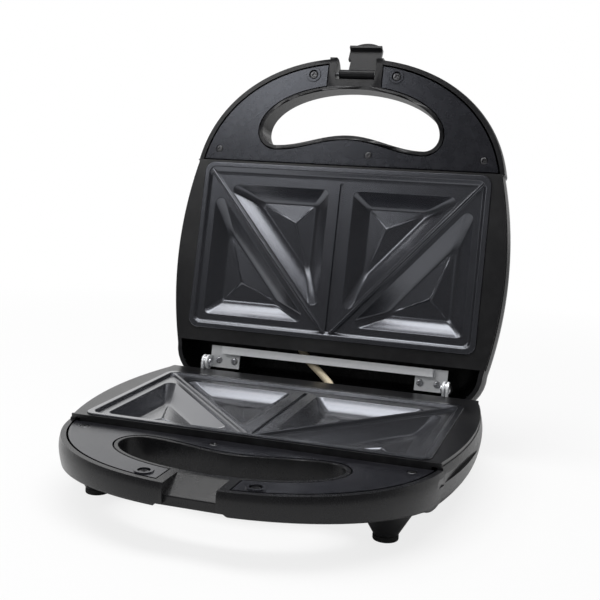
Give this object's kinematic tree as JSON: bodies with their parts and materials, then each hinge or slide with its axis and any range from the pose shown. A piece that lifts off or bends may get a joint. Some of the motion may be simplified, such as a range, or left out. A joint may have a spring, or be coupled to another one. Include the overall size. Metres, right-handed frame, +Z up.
{
  "type": "sandwich toaster",
  "caption": "Hinged sandwich toaster with ridged non-stick cooking plates in two rounded black casings, grip handles and a swing latch, shown open.",
  "frame": {"origin": "on the worktop under the middle of the open toaster's bounding box", "axes": "+X to the right as seen from the handles, +Y from the handles towards the hinge, +Z up"},
  "size_m": [0.238, 0.3074, 0.274],
  "materials": {
    "casing_black": "glossy black moulding",
    "deck_black": "smooth black moulding",
    "cover_black": "satin black moulding",
    "nonstick": "dark grey non-stick coating on cast aluminium",
    "dark_screw": "blackened steel",
    "zinc": "zinc-plated pressed steel",
    "bright_screw": "plated steel",
    "element_tube": "oxidised steel tube",
    "reflector_sheet": "thin aluminium sheet",
    "ceramic": "pale heat-proof moulding",
    "wire_brown": "glass-fibre covered leads",
    "soft_black": "matt black rubber",
    "sleeve_cream": "cream glass-fibre sleeve",
    "lens_red": "red lens",
    "lens_green": "green lens",
    "latch_black": "smooth black moulding"
  },
  "bodies": {
    "base": {"base_shell": "casing_black", "base_deck_frame": "deck_black", "base_handle_cover": "cover_black", "base_cover_screws": "dark_screw", "base_cooking_plate": "nonstick", "base_plate_screws": "bright_screw", "base_heating_element": "element_tube", "base_element_clamps": "zinc", "base_reflector": "reflector_sheet", "thermostat": "ceramic", "thermal_fuse": "ceramic", "terminal_block": "ceramic", "base_wires": "wire_brown", "cord_gland": "soft_black", "foot_front_left": "soft_black", "foot_front_right": "soft_black", "foot_rear_left": "soft_black", "foot_rear_right": "soft_black", "foot_screws": "bright_screw", "base_hinge_bracket_left": "zinc", "base_hinge_bracket_right": "zinc", "base_hinge_screws": "bright_screw", "hinge_pin_left": "zinc", "hinge_pin_right": "zinc", "hinge_washer_left": "zinc", "hinge_washer_right": "zinc", "wiring_sleeve": "sleeve_cream"},
    "lid": {"lid_shell": "casing_black", "lid_deck_frame": "deck_black", "lid_handle_cover": "cover_black", "lid_cover_screws": "dark_screw", "lid_cooking_plate": "nonstick", "lid_plate_screws": "bright_screw", "lid_heating_element": "element_tube", "lid_element_clamps": "zinc", "lid_reflector": "reflector_sheet", "hinge_crossbar": "zinc", "lid_hinge_leaf_left": "zinc", "lid_hinge_leaf_right": "zinc", "lid_hinge_screws": "bright_screw", "power_lamp_lens": "lens_red", "ready_lamp_lens": "lens_green", "neon_lamps": "ceramic", "latch_pin": "bright_screw"},
    "latch": {"latch": "latch_black"}
  },
  "joints": [
    {"name": "lid_hinge", "type": "hinge", "parent": "base", "child": "lid", "pos_m": [0, 0.0714, 0.0436], "axis": [1, 0, 0], "range_deg": [0, 102.5], "deforming": ["wiring_sleeve"]},
    {"name": "latch_pivot", "type": "hinge", "parent": "lid", "child": "latch", "pos_m": [0, 0.12635, 0.2499], "axis": [1, 0, 0], "range_deg": [0, 110]}
  ]
}
